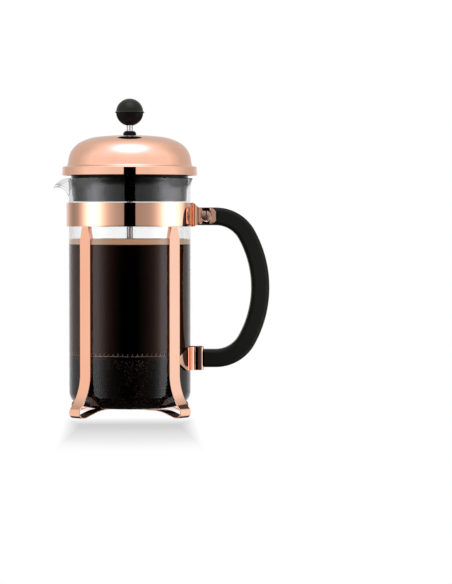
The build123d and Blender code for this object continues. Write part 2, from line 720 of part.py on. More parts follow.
def biarc(start, start_way, end, end_way):
    """Two tangent arcs between two points with given directions."""
    gap = end - start
    both = start_way + end_way
    lean = 2 * (1 - start_way.dot(end_way))
    reach = (math.sqrt(gap.dot(both) ** 2 + lean * gap.dot(gap)) - gap.dot(both)) / lean
    first, last = start + start_way * reach, end - end_way * reach
    middle = (first + last) * 0.5
    return [
        TangentArc(start, middle, tangent=start_way),
        TangentArc(middle, end, tangent=(last - first).normalized()),
    ]


def make_spring():
    stops = [spring_point(half / 2) for half in range(2 * SPRING_TURNS + 1)]
    lead = 2 * SPRING_WIRE_R
    first, first_way = stops[0]
    last, last_way = stops[-1]
    edges = [Line(first - first_way * lead, first)]
    for (start, start_way), (end, end_way) in zip(stops, stops[1:]):
        edges += biarc(start, start_way, end, end_way)
    edges.append(Line(last, last + last_way * lead))
    samples = [spring_point(step / 24)[0] for step in range(24 * SPRING_TURNS + 1)]
    samples += [first - first_way * lead, last + last_way * lead]
    print("spring least gap to itself", round(least_gap(samples), 2), "mm")
    section = RegularPolygon(SPRING_WIRE_R, SPRING_SIDES)
    return sweep(Plane(edges[0] @ 0, z_dir=first_way) * section, path=Wire(edges), clean=False)


def least_gap(samples):
    """Least distance between faces of the wire at points at least half a turn apart along it."""
    least = min(
        (samples[a] - samples[b]).length
        for a in range(len(samples))
        for b in range(a + 12, min(a + 60, len(samples)))
    )
    ends = (samples[-1] - samples[-2]).length
    return min(least, ends, (samples[0] - samples[-3]).length) - 2 * SPRING_WIRE_R


def make_spiral_plate():
    """Dished plate whose fingers reach into the coil, one between each pair of turns."""
    low, _, _ = stack_levels()
    rim_low = SPRING_Z - SHEET / 2
    plate = turned(outline(
        (ROD_TIP_R, low), (PLATE_DISH_R, low), (PLATE_RISE_R, rim_low), (PLATE_R, rim_low),
        (PLATE_R, rim_low + SHEET), (PLATE_RISE_R - 0.3, rim_low + SHEET),
        (PLATE_DISH_R - 0.3, low + SHEET), (ROD_TIP_R, low + SHEET),
    ))
    length = PLATE_R + 2 - FINGER_SLOT_R
    slot = Pos(FINGER_SLOT_R + length / 2, 0, SPRING_Z) * Box(length, FINGER_SLOT_WIDTH, 2 * SHEET)
    for turn in range(SPRING_TURNS):
        plate -= Rot(0, 0, spring_angle(turn + 0.5)) * slot
    hole = Pos(PLATE_HOLE_RING_R, 0, low) * Cylinder(PLATE_HOLE_R, 4 * SHEET)
    for index in range(PLATE_HOLES):
        plate -= Rot(0, 0, index * 360 / PLATE_HOLES) * hole
    return plate


def make_screen():
    """Fine screen: a flat disc with its edge turned up outside the coil."""
    _, low, _ = stack_levels()
    edge_r = 1.0
    moves = [run(SCREEN_R - SCREEN_SHEET / 2 - edge_r - ROD_TIP_R), bend(edge_r, 90),
             run(SCREEN_HIGH_Z - low - SCREEN_SHEET / 2 - edge_r)]
    return turned(strip_face((ROD_TIP_R, low + SCREEN_SHEET / 2), 0, moves, SCREEN_SHEET))


def make_cross_plate():
    """Lower plate: a rim and a hub joined by a cross."""
    _, _, low = stack_levels()
    window = Circle(CROSS_R - CROSS_RIM) - Circle(CROSS_HUB_R)
    window -= Rectangle(2 * CROSS_R, CROSS_ARM)
    window -= Rectangle(CROSS_ARM, 2 * CROSS_R)
    return prism(Circle(CROSS_R) - Circle(NUT_R) - window, low, low + SHEET)


def make_hub_nut():
    """Threaded hub pressed into the cross plate and screwed on the rod's tip."""
    _, high, low = stack_levels()
    return tube(NUT_R, ROD_TIP_R, NUT_LOW_Z, high)


def build():
    leg_a = make_leg_strip(45, CROSS_LOW_Z)
    leg_b = make_leg_strip(-45, CROSS_LOW_Z + SHEET)
    cut = Cylinder(RIVET_R, 40)
    legs = (leg_a - cut, leg_b - cut)
    return {
        "frame_band": make_band(),
        "leg_strip_a": legs[0],
        "leg_strip_b": legs[1],
        "cross_rivet": make_cross_rivet(),
        "handle": make_handle(),
        "handle_clip_front": make_clip(-1, legs),
        "handle_clip_rear": make_clip(1, legs),
        "handle_screw": make_screw(),
        "handle_nut": make_nut(),
        "beaker": make_beaker(),
        "lid_dome": make_dome(),
        "lid_liner": make_liner(),
        "rod_bush": make_bush(),
        "bush_clip": make_bush_clip(),
        "knob_base": make_knob_base(),
        "knob_cap": make_knob_cap(),
        "knob_insert": make_knob_insert(),
        "plunger_rod": make_rod(),
        "spiral_plate": make_spiral_plate(),
        "rim_spring": make_spring(),
        "filter_screen": make_screen(),
        "cross_plate": make_cross_plate(),
        "hub_nut": make_hub_nut(),
    }


def main():
    os.makedirs("parts", exist_ok=True)
    for node, solid in build().items():
        solid.label = node
        export_step(solid, os.path.join("parts", node + ".step"))


main()
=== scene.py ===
import json
import math

import bpy
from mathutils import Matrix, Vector

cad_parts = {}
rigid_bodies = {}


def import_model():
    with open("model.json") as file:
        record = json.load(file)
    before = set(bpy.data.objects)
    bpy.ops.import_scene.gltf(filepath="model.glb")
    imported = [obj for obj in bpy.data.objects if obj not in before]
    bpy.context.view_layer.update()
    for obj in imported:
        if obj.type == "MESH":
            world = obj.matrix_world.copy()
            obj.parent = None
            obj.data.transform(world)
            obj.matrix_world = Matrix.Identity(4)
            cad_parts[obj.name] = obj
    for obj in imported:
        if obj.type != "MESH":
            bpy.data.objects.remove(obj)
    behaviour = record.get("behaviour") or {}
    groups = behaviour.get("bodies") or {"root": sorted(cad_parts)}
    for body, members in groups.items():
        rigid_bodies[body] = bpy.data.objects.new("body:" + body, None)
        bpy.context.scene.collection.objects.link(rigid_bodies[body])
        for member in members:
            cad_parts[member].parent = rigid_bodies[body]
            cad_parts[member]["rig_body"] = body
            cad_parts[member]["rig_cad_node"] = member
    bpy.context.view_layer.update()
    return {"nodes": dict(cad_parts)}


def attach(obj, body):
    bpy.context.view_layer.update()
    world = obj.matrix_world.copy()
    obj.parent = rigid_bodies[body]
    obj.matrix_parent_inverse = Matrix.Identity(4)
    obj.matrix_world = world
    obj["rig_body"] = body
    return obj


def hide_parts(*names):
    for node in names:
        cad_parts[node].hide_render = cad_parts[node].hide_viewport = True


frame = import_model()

NODES = frame["nodes"]
MM = 0.001

# Beaker and what is in it, in millimetres
# Coffee and grounds reach a little into the glass, so that no bright gap shows
PUNT_R = 16.0
PUNT_RISE = 2.2
PUNT_SHARES = ((0.0, 1.0), (0.5, 0.75), (1.0, 0.0))
COFFEE_R = 46.1
COFFEE_TOP_Z = 133.6
COFFEE_LOW_R = 45.8
COFFEE_EASE = 24.0
FOAM_TOP_Z = 137.3
GROUNDS_R = 46.9
GROUNDS_FLOOR_Z = 6.9
GROUNDS_CORNER_R = 11.9
LIP_START_R = 45.5
LIP_LOW_Z = 168.0

# Top of the foam, from the glass inwards: distance from the coffee's side, and height over its level
FOAM_EDGE = ((0.0, 0.4), (0.8, 0.3), (2.2, 0.0), (26.1, -0.1))

# Filter, in millimetres
COIL_RING_R = 42.2
COIL_REACH_R = 46.8
COIL_HALF_H = 2.1
COIL_WIRE_R = 0.38
COIL_Z = 48.6
COIL_TURNS = 78
COIL_STEPS = 12
SCREEN_LOW_Z = 44.6
SCREEN_EDGE_Z = 47.9
HEM_R = 46.05
HEM_WALL = 0.6
HEM_HEIGHT = 0.3
HEM_SLOPE = 0.05

# Stand, in millimetres and degrees, as in the part's source
SHEET = 0.8
LEG_ANGLE = 45
LEG_REACH = 48.45
LEG_WIDTH = 11.4
LEG_TAB_WIDTH = 6.6
LEG_TAPER_Z = 137.0
LEG_TAB_LOW_Z = 147.4
LEG_TAB_TOP_Z = 164.6
FOOT_FLARE_R = 38.0
FOOT_FLARE_TURN = 44.0
FOOT_BEND_R = 4.0
FOOT_FLAT = 2.0
FOOT_RISE_TURN = 18.0
FOOT_EASE_R = 50.0
CROSS_LOW_Z = 5.2

# Finishing, in millimetres and degrees: rounded edges, plates bowed by thinning them, and tabs
STRIP_EDGE = 0.26
BAND_EDGE = 0.24
CLIP_EDGE = 0.22
FASTENER_EDGE = 0.18
RIM_EDGE = 0.4
EAR_BOW = {"left": 52.4, "middle": 60.1, "right": 68.3, "radius": 36.0}
CLIP_BOW = {"left": 51.0, "middle": 53.8, "right": 55.6, "radius": 13.4}
BOW_COLUMNS = 14
PLATE_THINNING = 0.68
TAB_END = 0.9
TAB_THINNING = 0.05
SAME_FACE = 0.01
INNER_SIDE_LOW_Z = 30.0
FACES_INWARD = -0.7
SMOOTH_ANGLE = 35
SPIN_STEPS = 128

# Points closer than these, in metres, are merged: along a spun piece's seam, and in a CAD node's copy
SEAM_MERGE = 1e-6
CAD_MERGE = 2e-6

# Share that lifts the liner's cone a hair off the glass that it rests on
LINER_SHRINK = 0.9985

# Where finishes change over a piece, in metres from the axis or over the table
UNDER_FOAM_Z = (0.1, 0.1345)
PACKED_GROUNDS_Z = (0.034, 0.0445)
SCREEN_STAIN_R = (0.0428, 0.0446)
COIL_FILM_R = (0.0432, 0.0448)
# Painted shade in the band's folds by its ears: the colour darkens between these
PAINTED_FOLD_SHADE_START_X = (0.0464, 0.0472)
PAINTED_FOLD_SHADE_END_X = (0.0504, 0.0512)

# Colour, roughness, marks and deeper colour of the polished copper, and the tint of shine on plastic
COPPER_LOOK = ((0.95, 0.545, 0.385), 0.025, 0.02, (0.93, 0.52, 0.362))
SHINE_TINT = (1.0, 1.03, 0.84, 1.0)

# Camera, from the photograph's frame of 452 by 584 pixels
PHOTO_HIGH = 584
PIXEL_MM = 0.785
CAMERA_PLACE = (0.0, -2.0, 0.151)
CAMERA_AIM = (0.0754, 0.0, 0.0960)
SENSOR_MM = 36.0


# Selecting and making

def nothing_selected():
    """Leaves edit mode and deselects every object."""
    if bpy.context.object and bpy.context.object.mode != "OBJECT":
        bpy.ops.object.mode_set(mode="OBJECT")
    bpy.ops.object.select_all(action="DESELECT")


def only(obj):
    """Makes obj the one selected and active object, in object mode."""
    nothing_selected()
    obj.select_set(True)
    bpy.context.view_layer.objects.active = obj


def edit_all(obj):
    """Opens obj in edit mode with all of it selected."""
    only(obj)
    bpy.ops.object.mode_set(mode="EDIT")
    bpy.ops.mesh.select_all(action="SELECT")


def edit_chosen(obj, chosen):
    """Opens obj in edit mode with the vertices selected that chosen says."""
    edit_all(obj)
    bpy.ops.mesh.select_all(action="DESELECT")
    bpy.ops.object.mode_set(mode="OBJECT")
    for vertex in obj.data.vertices:
        vertex.select = chosen(vertex.co)
    bpy.ops.object.mode_set(mode="EDIT")


def finish_edit():
    """Leaves edit mode and shades all but sharp edges smooth."""
    bpy.ops.object.mode_set(mode="OBJECT")
    bpy.ops.object.shade_smooth_by_angle(angle=math.radians(SMOOTH_ANGLE))


def apply_modifiers(obj):
    only(obj)
    for modifier in list(obj.modifiers):
        bpy.ops.object.modifier_apply(modifier=modifier.name)


def drawn(name, profile):
    """A line through points of X and Z in millimetres, left selected in edit mode."""
    nothing_selected()
    bpy.ops.mesh.primitive_plane_add(size=MM, location=(0, 0, 0))
    piece = bpy.context.object
    piece.name = name
    bpy.ops.object.mode_set(mode="EDIT")
    bpy.ops.mesh.select_all(action="SELECT")
    bpy.ops.mesh.merge(type="CENTER")
    bpy.ops.transform.translate(value=(profile[0][0] * MM, 0, profile[0][1] * MM))
    last = profile[0]
    for point in profile[1:]:
        step = ((point[0] - last[0]) * MM, 0, (point[1] - last[1]) * MM)
        bpy.ops.mesh.extrude_region_move(TRANSFORM_OT_translate={"value": step})
        last = point
    bpy.ops.mesh.select_all(action="SELECT")
    return piece


def turned(name, profile):
    """A piece spun round the Z axis from a profile of radius and height in millimetres."""
    piece = drawn(name, profile)
    bpy.ops.mesh.spin(steps=SPIN_STEPS, angle=2 * math.pi, center=(0, 0, 0), axis=(0, 0, 1))
    bpy.ops.mesh.select_all(action="SELECT")
    bpy.ops.mesh.remove_doubles(threshold=SEAM_MERGE)
    bpy.ops.mesh.normals_make_consistent(inside=False)
    finish_edit()
    return piece


def arc(centre, radius, start, end, count):
    """Points of radius and height on an arc, angles in degrees from outward."""
    points = []
    for index in range(count + 1):
        angle = math.radians(start + (end - start) * index / count)
        points.append((centre[0] + radius * math.cos(angle), centre[1] + radius * math.sin(angle)))
    return points


def round_edges(piece, width, segments, limit, flat=True):
    """Rounds the sharp edges, and shades the broad faces of a flat piece as they lie."""
    bevel = piece.modifiers.new("edge", "BEVEL")
    bevel.width = width * MM
    bevel.segments = segments
    bevel.limit_method = "ANGLE"
    bevel.angle_limit = math.radians(limit)
    if flat:
        weigh = piece.modifiers.new("even", "WEIGHTED_NORMAL")
        weigh.weight = 100
    apply_modifiers(piece)


def bow_plate(piece, hands, left, middle, right, radius):
    """Bows the plates that face the front (-1) or the back (1), by thinning them towards their ends."""
    step = (right - left) / BOW_COLUMNS
    places = [left + step * index for index in range(BOW_COLUMNS + 1)]
    for place in places:
        edit_all(piece)
        bpy.ops.mesh.bisect(plane_co=(place * MM, 0, 0), plane_no=(1, 0, 0))
    for hand in hands:
        bpy.ops.object.mode_set(mode="OBJECT")
        outer = max(hand * vertex.co.y for vertex in piece.data.vertices if vertex.co.x > left * MM)
        for place in places:
            def on_column(spot):
                near = abs(spot.x - place * MM) < step / 2 * MM
                beyond = place == places[-1] and spot.x > (place + step / 2) * MM
                return beyond or (near and hand * spot.y > outer - SAME_FACE * MM)

            back = min((place - middle) ** 2 / (2 * radius), PLATE_THINNING)
            edit_chosen(piece, on_column)
            bpy.ops.transform.translate(value=(0, -hand * back * MM, 0))
    bpy.ops.object.mode_set(mode="OBJECT")


def feather_tab(piece, hand):
    """Thins the end of a clip's tab down to the face of the leg that it is welded to."""
    end = min(vertex.co.x for vertex in piece.data.vertices) + TAB_END * MM
    edit_chosen(piece, lambda spot: spot.x < end)
    leg_face = Vector((LEG_REACH + SHEET / 2, 0, 0)) * MM
    turn = math.radians(LEG_ANGLE * hand)
    bpy.ops.transform.rotate(value=turn, orient_axis="Z", center_override=(0, 0, 0))
    bpy.ops.transform.resize(value=(TAB_THINNING, 1, 1), center_override=leg_face)
    bpy.ops.transform.rotate(value=-turn, orient_axis="Z", center_override=(0, 0, 0))
    bpy.ops.object.mode_set(mode="OBJECT")


def merged_copy(node):
    """Copy of a CAD node that stands for it, left selected in edit mode."""
    only(NODES[node])
    bpy.ops.object.duplicate()
    piece = bpy.context.object
    del piece["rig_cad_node"]
    piece.name = node + "_finished"
    piece.parent = None
    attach(piece, NODES[node]["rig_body"])
    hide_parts(node)
    edit_all(piece)
    bpy.ops.mesh.customdata_custom_splitnormals_clear()
    bpy.ops.mesh.remove_doubles(threshold=CAD_MERGE)
    return piece


def rounded_copy(node, width, segments=2, limit=38, keep_angle=0.5, hands=(), bow=None, flat=True):
    """Copy of a CAD node with its sharp edges rounded, and its plates bowed where a bow is given."""
    piece = merged_copy(node)
    if bow:
        bow_plate(piece, hands, **bow)
        edit_all(piece)
    bpy.ops.mesh.dissolve_limited(angle_limit=math.radians(keep_angle))
    bpy.ops.object.mode_set(mode="OBJECT")
    bpy.ops.object.shade_smooth()
    round_edges(piece, width, segments, limit, flat)
    return piece


# Shader building

def add_node(tree, kind, settings=None, **inputs):
    """A node with its settings, and with its inputs set or linked by name."""
    made = tree.nodes.new(kind)
    for key, value in (settings or {}).items():
        setattr(made, key, value)
    for key, value in inputs.items():
        connect(tree, value, made.inputs[key.replace("_", " ")])
    return made


def connect(tree, value, socket):
    """Links a socket's value, or sets a plain one."""
    if isinstance(value, bpy.types.NodeSocket):
        tree.links.new(value, socket)
    else:
        socket.default_value = value


def object_coords(tree, scale=None):
    """The object's own coordinates, stretched where a scale is given."""
    coords = add_node(tree, "ShaderNodeTexCoord").outputs["Object"]
    if scale is None:
        return coords
    mapping = add_node(tree, "ShaderNodeMapping", Vector=coords)
    mapping.inputs["Scale"].default_value = scale
    return mapping.outputs["Vector"]


def noise(tree, coords, scale, detail=2.0, roughness=0.5):
    made = add_node(tree, "ShaderNodeTexNoise",
                    Vector=coords, Scale=scale, Detail=detail, Roughness=roughness)
    return made.outputs["Fac"]


def span(tree, value, low, high, new_low, new_high):
    """Value mapped from one range to another, clamped."""
    made = add_node(tree, "ShaderNodeMapRange", {"clamp": True})
    for socket, number in zip(made.inputs[:5], (value, low, high, new_low, new_high)):
        connect(tree, number, socket)
    return made.outputs["Result"]


def math_node(tree, operation, first, second=0.0):
    made = add_node(tree, "ShaderNodeMath", {"operation": operation})
    connect(tree, first, made.inputs[0])
    connect(tree, second, made.inputs[1])
    return made.outputs["Value"]


def blend_colour(tree, share, first, second):
    """First colour at a share of 0, second at 1."""
    made = add_node(tree, "ShaderNodeMix", {"data_type": "RGBA"})
    connect(tree, share, made.inputs["Factor"])
    connect(tree, first, made.inputs[6])
    connect(tree, second, made.inputs[7])
    return made.outputs[2]


def new_group(name, inputs, outputs):
    """Shader group with float or colour sockets, named in dictionaries of name to default."""
    group = bpy.data.node_groups.new(name, "ShaderNodeTree")
    for key, default in inputs.items():
        colour = not isinstance(default, float)
        kind = "NodeSocketColor" if colour else "NodeSocketFloat"
        socket = group.interface.new_socket(key, in_out="INPUT", socket_type=kind)
        socket.default_value = default
    for key, kind in outputs.items():
        group.interface.new_socket(key, in_out="OUTPUT", socket_type=kind)
    start = group.nodes.new("NodeGroupInput")
    end = group.nodes.new("NodeGroupOutput")
    return group, start.outputs, end.inputs


def use_group(tree, group, **inputs):
    made = tree.nodes.new("ShaderNodeGroup")
    made.node_tree = group
    for key, value in inputs.items():
        connect(tree, value, made.inputs[key.replace("_", " ")])
    return made.outputs


def material(name, colour, roughness, metallic=0.0):
    """A material with its node tree and its shader."""
    made = bpy.data.materials.new(name)
    made.use_nodes = True
    tree = made.node_tree
    shader = tree.nodes["Principled BSDF"]
    shader.inputs["Base Color"].default_value = (*colour, 1.0)
    shader.inputs["Roughness"].default_value = roughness
    shader.inputs["Metallic"].default_value = metallic
    return made, tree, shader


def bump(tree, shader, height, strength, distance_mm):
    made = add_node(tree, "ShaderNodeBump",
                    Strength=strength, Distance=distance_mm * MM, Height=height)
    tree.links.new(made.outputs["Normal"], shader.inputs["Normal"])


def parts_of(made):
    """A finished material's node tree, its shader and the socket that gives its colour."""
    tree = made.node_tree
    shader = tree.nodes["Principled BSDF"]
    return tree, shader, shader.inputs["Base Color"].links[0].from_socket


def dress(obj, made):
    obj.data.materials.clear()
    obj.data.materials.append(made)


# Finishes that several materials share

def make_polish_group():
    """Polished metal: soft hand marks and fine polishing lines."""
    group, given, put = new_group(
        "polished_metal",
        {"Roughness": 0.1, "Marks": 0.04, "Line Scale": 900.0},
        {"Roughness": "NodeSocketFloat", "Height": "NodeSocketFloat"},
    )
    coords = object_coords(group)
    hazy = noise(group, coords, 26.0, 3.0, 0.55)
    lines = noise(group, object_coords(group, (1.0, 1.0, 14.0)), given["Line Scale"], 2.0, 0.6)
    haze = span(group, hazy, 0.42, 0.68, 0.0, 1.0)
    marked = math_node(group, "MULTIPLY", haze, given["Marks"])
    fine = math_node(group, "MULTIPLY", lines, given["Marks"])
    total = math_node(group, "ADD", math_node(group, "ADD", given["Roughness"], marked), fine)
    group.links.new(total, put["Roughness"])
    group.links.new(lines, put["Height"])
    return group


def make_grain_group():
    """Moulded plastic: fine spark-eroded grain with rubbed patches."""
    group, given, put = new_group(
        "moulded_grain",
        {"Roughness": 0.5, "Rub": 0.08, "Grain Scale": 2600.0},
        {"Roughness": "NodeSocketFloat", "Height": "NodeSocketFloat", "Rubbed": "NodeSocketFloat"},
    )
    coords = object_coords(group)
    grain = noise(group, coords, given["Grain Scale"], 2.0, 0.6)
    rubbed = span(group, noise(group, coords, 38.0, 3.0, 0.5), 0.45, 0.7, 0.0, 1.0)
    lowered = math_node(group, "MULTIPLY", rubbed, given["Rub"])
    group.links.new(math_node(group, "SUBTRACT", given["Roughness"], lowered), put["Roughness"])
    group.links.new(grain, put["Height"])
    group.links.new(rubbed, put["Rubbed"])
    return group


POLISH = make_polish_group()
GRAIN = make_grain_group()


def metal(name, colour, roughness, marks, deep, metallic=1.0):
    """Metal whose colour deepens a little in soft patches."""
    made, tree, shader = material(name, colour, roughness, metallic)
    out = use_group(tree, POLISH, Roughness=roughness, Marks=marks)
    tree.links.new(out["Roughness"], shader.inputs["Roughness"])
    patch = span(tree, noise(tree, object_coords(tree), 18.0, 2.0), 0.35, 0.7, 0.0, 1.0)
    shade = blend_colour(tree, patch, (*colour, 1.0), (*deep, 1.0))
    tree.links.new(shade, shader.inputs["Base Color"])
    bump(tree, shader, out["Height"], 0.02, 0.02)
    return made


def plastic(name, colour, worn, roughness, rub, bump_strength, shine):
    """Moulded plastic, paler where it is rubbed."""
    made, tree, shader = material(name, colour, roughness)
    shader.inputs["Specular IOR Level"].default_value = shine
    shader.inputs["Specular Tint"].default_value = SHINE_TINT
    out = use_group(tree, GRAIN, Roughness=roughness, Rub=rub)
    tree.links.new(out["Roughness"], shader.inputs["Roughness"])
    shade = blend_colour(tree, out["Rubbed"], (*colour, 1.0), (*worn, 1.0))
    tree.links.new(shade, shader.inputs["Base Color"])
    bump(tree, shader, out["Height"], bump_strength, 0.05)
    return made


def make_glass():
    """Clear glass with faint hazy patches."""
    made, tree, shader = material("clear_glass", (0.985, 0.992, 0.99), 0.0)
    shader.inputs["Transmission Weight"].default_value = 1.0
    shader.inputs["IOR"].default_value = 1.47
    shader.inputs["Specular IOR Level"].default_value = 0.35
    haze = span(tree, noise(tree, object_coords(tree), 30.0, 2.0), 0.5, 0.75, 0.0, 0.004)
    tree.links.new(haze, shader.inputs["Roughness"])
    return made


def make_coffee():
    """Coffee that is black face on, with painted light: brown where the eye skims along the glass, in
    place of light seen through the coffee.
    """
    made, tree, shader = material("brewed_coffee", (0.006, 0.0022, 0.0014), 0.5)
    shader.inputs["Specular IOR Level"].default_value = 0.0
    heights = add_node(tree, "ShaderNodeSeparateXYZ", Vector=object_coords(tree)).outputs["Z"]
    under_foam = span(tree, heights, *UNDER_FOAM_Z, 0.0, 0.8)
    cloud = noise(tree, object_coords(tree), 45.0, 3.0)
    # Painted light: brown is blended in where the coffee is seen edge on
    skim = add_node(tree, "ShaderNodeLayerWeight", Blend=0.5).outputs["Facing"]
    painted_edge_light = span(tree, skim, 0.007, 0.07, 0.0, 1.0)
    share = math_node(tree, "MULTIPLY", painted_edge_light, span(tree, cloud, 0.2, 0.8, 0.8, 1.0))
    deep = blend_colour(tree, under_foam,
                        (0.0006, 0.0003, 0.0002, 1.0), (0.004, 0.0014, 0.0008, 1.0))
    shade = blend_colour(tree, share, deep, (0.055, 0.0105, 0.002, 1.0))
    tree.links.new(shade, shader.inputs["Base Color"])
    return made


def make_foam():
    """Fine coffee foam with pits, with painted light: paler towards the sides as the eye sees them."""
    made, tree, shader = material("coffee_foam", (0.70, 0.49, 0.34), 0.6)
    coords = object_coords(tree)
    cells = add_node(tree, "ShaderNodeTexVoronoi", Vector=coords, Scale=900.0)
    fine = add_node(tree, "ShaderNodeTexVoronoi", Vector=coords, Scale=2300.0)
    drift = span(tree, noise(tree, coords, 60.0, 3.0), 0.35, 0.7, 0.0, 1.0)
    # Painted light: the foam is blended paler where it is seen towards its sides
    skim = add_node(tree, "ShaderNodeLayerWeight", Blend=0.5).outputs["Facing"]
    side = span(tree, skim, 0.004, 0.1, 0.0, 1.0)
    pale = blend_colour(tree, side, (0.88, 0.42, 0.23, 1.0), (0.97, 0.72, 0.52, 1.0))
    pale = blend_colour(tree, math_node(tree, "MULTIPLY", drift, 0.3), pale, (0.97, 0.7, 0.5, 1.0))
    pits = span(tree, cells.outputs["Distance"], 0.0, 0.35, 1.0, 0.0)
    pitted = math_node(tree, "MULTIPLY", pits, 0.35)
    shade = blend_colour(tree, pitted, pale, (0.42, 0.25, 0.15, 1.0))
    tree.links.new(shade, shader.inputs["Base Color"])
    depth = math_node(tree, "ADD", cells.outputs["Distance"], fine.outputs["Distance"])
    bump(tree, shader, depth, 0.4, 0.3)
    return made


def make_grounds():
    """Wet black grounds with brown bits, most of them near the filter."""
    made, tree, shader = material("coffee_grounds", (0.01, 0.005, 0.003), 0.6)
    shader.inputs["Specular IOR Level"].default_value = 0.0
    coords = object_coords(tree)
    bits = add_node(tree, "ShaderNodeTexVoronoi", Vector=coords, Scale=900.0)
    small = add_node(tree, "ShaderNodeTexVoronoi", Vector=coords, Scale=2100.0)
    drift = span(tree, noise(tree, coords, 70.0, 3.0), 0.42, 0.72, 0.15, 1.0)
    spots = span(tree, bits.outputs["Distance"], 0.08, 0.3, 1.0, 0.0)
    seeds = span(tree, small.outputs["Distance"], 0.08, 0.3, 0.7, 0.0)
    share = math_node(tree, "MULTIPLY", math_node(tree, "MAXIMUM", spots, seeds), drift)
    heights = add_node(tree, "ShaderNodeSeparateXYZ", Vector=coords).outputs["Z"]
    packed = span(tree, heights, *PACKED_GROUNDS_Z, 0.35, 1.0)
    shade = blend_colour(tree, math_node(tree, "MULTIPLY", share, packed),
                         (0.0014, 0.0009, 0.0007, 1.0), (0.34, 0.22, 0.145, 1.0))
    tree.links.new(shade, shader.inputs["Base Color"])
    bump(tree, shader, bits.outputs["Distance"], 0.3, 0.2)
    return made


def edge_share(tree, coords, near, far):
    """0 to 1 between two distances from the Z axis."""
    place = add_node(tree, "ShaderNodeSeparateXYZ", Vector=coords)
    across = math_node(tree, "POWER", place.outputs["X"], 2.0)
    along = math_node(tree, "POWER", place.outputs["Y"], 2.0)
    reach = math_node(tree, "SQRT", math_node(tree, "ADD", across, along))
    return span(tree, reach, near, far, 0.0, 1.0)


def make_mesh_cloth():
    """Woven steel wire, stained dark by coffee at its edge."""
    made, tree, shader = material("woven_steel", (0.6, 0.58, 0.55), 0.35, 1.0)
    coords = object_coords(tree)
    weave = add_node(tree, "ShaderNodeTexVoronoi", {"feature": "F1", "distance": "CHEBYCHEV"},
                     Vector=coords, Scale=2200.0, Randomness=0.0)
    holes = span(tree, weave.outputs["Distance"], 0.16, 0.3, 1.0, 0.0)
    blotch = span(tree, noise(tree, coords, 240.0, 3.0), 0.4, 0.62, 0.0, 0.6)
    stain = math_node(tree, "MAXIMUM", edge_share(tree, coords, *SCREEN_STAIN_R), blotch)
    wire = blend_colour(tree, stain, (0.62, 0.58, 0.53, 1.0), (0.05, 0.03, 0.018, 1.0))
    shade = blend_colour(tree, holes, wire, (0.004, 0.0025, 0.002, 1.0))
    tree.links.new(shade, shader.inputs["Base Color"])
    bump(tree, shader, weave.outputs["Distance"], 0.5, 0.1)
    return made


def make_coil_steel():
    """Spring steel with a brown film on the side that rubs the glass."""
    made, tree, shader = material("spring_steel", (0.5, 0.46, 0.42), 0.3, 1.0)
    coords = object_coords(tree)
    film = edge_share(tree, coords, *COIL_FILM_R)
    patch = span(tree, noise(tree, coords, 300.0, 2.0), 0.3, 0.7, 0.0, 1.0)
    stained = blend_colour(tree, patch, (0.2, 0.155, 0.125, 1.0), (0.45, 0.355, 0.29, 1.0))
    shade = blend_colour(tree, film, (0.5, 0.46, 0.42, 1.0), stained)
    tree.links.new(shade, shader.inputs["Base Color"])
    out = use_group(tree, POLISH, Roughness=0.3, Marks=0.1, Line_Scale=1500.0)
    tree.links.new(out["Roughness"], shader.inputs["Roughness"])
    return made


def make_rod_steel():
    """Drawn steel rod, with painted shade: dark grey along its sides as the eye sees them."""
    made = metal("rod_steel", (0.82, 0.815, 0.8), 0.3, 0.05, (0.78, 0.772, 0.76))
    tree, shader, bright = parts_of(made)
    # Painted shade: the colour darkens where the rod is seen towards its sides
    skim = add_node(tree, "ShaderNodeLayerWeight", Blend=0.5).outputs["Facing"]
    side = span(tree, skim, 0.1, 0.45, 0.0, 1.0)
    shade = blend_colour(tree, side, bright, (0.06, 0.06, 0.06, 1.0))
    tree.links.new(shade, shader.inputs["Base Color"])
    return made


def make_band_copper():
    """Polished copper with painted shade: its colour darkens in the folds where the band turns out into
    its ears.
    """
    made = metal("band_copper", *COPPER_LOOK)
    tree, shader, bright = parts_of(made)
    # Painted shade: the colour darkens across the folds by the ears
    across = add_node(tree, "ShaderNodeSeparateXYZ", Vector=object_coords(tree)).outputs["X"]
    start = span(tree, across, *PAINTED_FOLD_SHADE_START_X, 0.0, 1.0)
    painted_fold_shade = math_node(tree, "MULTIPLY", start, span(tree, across, *PAINTED_FOLD_SHADE_END_X, 1.0, 0.0))
    shade = blend_colour(tree, painted_fold_shade, bright, (0.36, 0.12, 0.055, 1.0))
    tree.links.new(shade, shader.inputs["Base Color"])
    return made


def make_lip_glass():
    """Thin glass of the pouring lip, which shows by a painted dark outline: dark grey that grows opaque
    where it is seen edge on, in place of the glass's refraction.
    """
    made, tree, shader = material("lip_glass", (0.1, 0.105, 0.105), 0.08)
    shader.inputs["Specular IOR Level"].default_value = 0.2
    haze = span(tree, noise(tree, object_coords(tree), 30.0, 2.0), 0.5, 0.75, 0.08, 0.12)
    tree.links.new(haze, shader.inputs["Roughness"])
    # Painted shade: the dark grey shows more where the lip is seen edge on
    skim = add_node(tree, "ShaderNodeLayerWeight", Blend=0.5).outputs["Facing"]
    tree.links.new(span(tree, skim, 0.6, 0.97, 0.045, 0.88), shader.inputs["Alpha"])
    return made


def make_satin_copper():
    """Unpolished inner side of the strips; a little glow stands for light through the glass."""
    made = metal("satin_copper", (0.95, 0.5, 0.32), 0.45, 0.1, (0.92, 0.46, 0.28), metallic=0.3)
    tree, shader, _ = parts_of(made)
    drift = span(tree, noise(tree, object_coords(tree), 60.0, 2.0), 0.35, 0.65, 0.0, 1.0)
    glow = blend_colour(tree, drift, (0.36, 0.13, 0.06, 1.0), (0.5, 0.2, 0.1, 1.0))
    tree.links.new(glow, shader.inputs["Emission Color"])
    shader.inputs["Emission Strength"].default_value = 1.0
    return made


